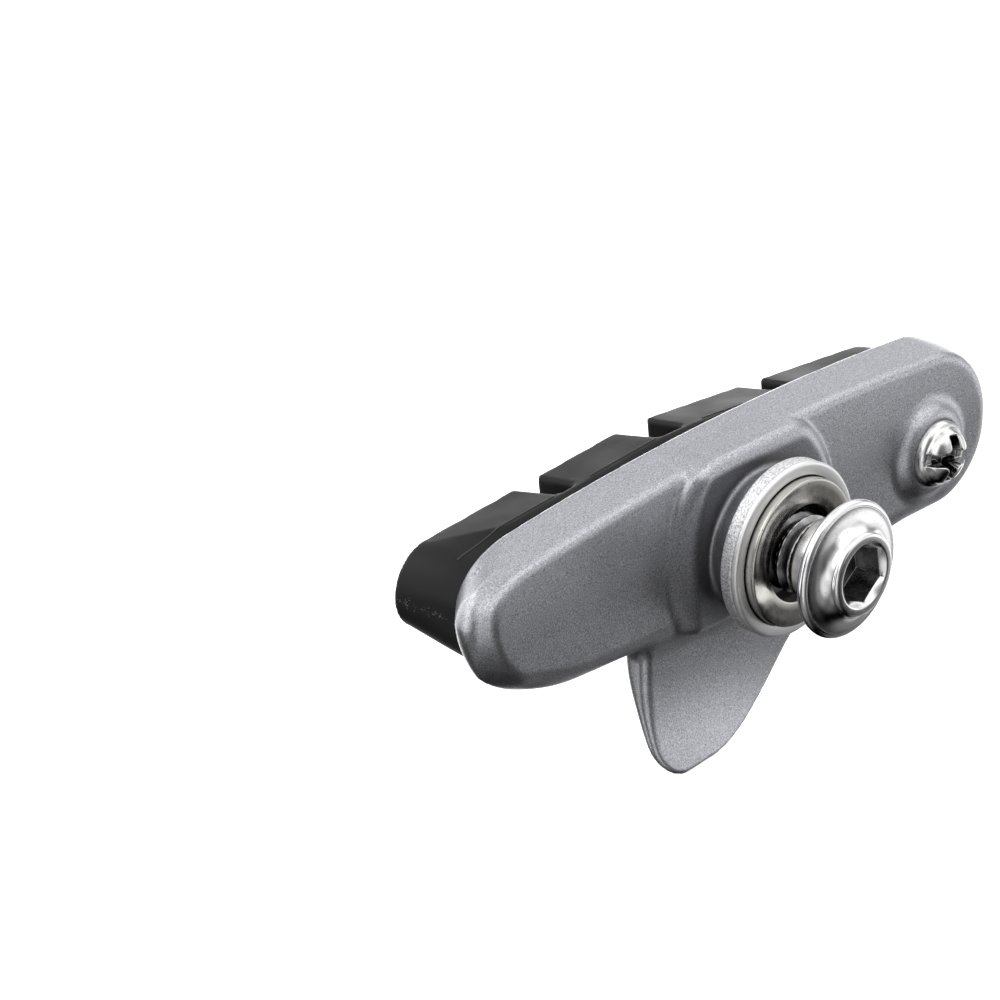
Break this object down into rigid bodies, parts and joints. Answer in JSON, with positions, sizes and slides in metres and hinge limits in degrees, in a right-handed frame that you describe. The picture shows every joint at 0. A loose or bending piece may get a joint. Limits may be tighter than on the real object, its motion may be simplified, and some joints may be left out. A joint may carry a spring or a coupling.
{
  "type": "bicycle rim brake pad",
  "caption": "road bicycle rim brake shoe: cast holder with a wheel guide fin, slide-in rubber insert, flanged mounting bolt, convex washer and insert screw",
  "frame": {"origin": "on the bolt axis, in the convex washer's flat face, where the brake arm bears", "axes": "+X along the rim towards the open, screwed end of the holder; +Y towards the wheel rim, square to the rubber's face; +Z away from the wheel's hub"},
  "size_m": [0.0576, 0.0214, 0.0248],
  "materials": {
    "holder_finish": "fine silver-grey metallic coat over a blasted casting, bare metal on the turned boss ring",
    "pad_rubber": "moulded black rubber, ground on the rim face",
    "washer_steel": "nickel plated, smooth",
    "bolt_plating": "bright plating",
    "screw_plating": "bright plating"
  },
  "bodies": {
    "root": {"shoe_holder": "holder_finish", "brake_pad": "pad_rubber", "convex_washer": "washer_steel", "mounting_bolt": "bolt_plating", "pad_fixing_screw": "screw_plating"}
  },
  "joints": []
}
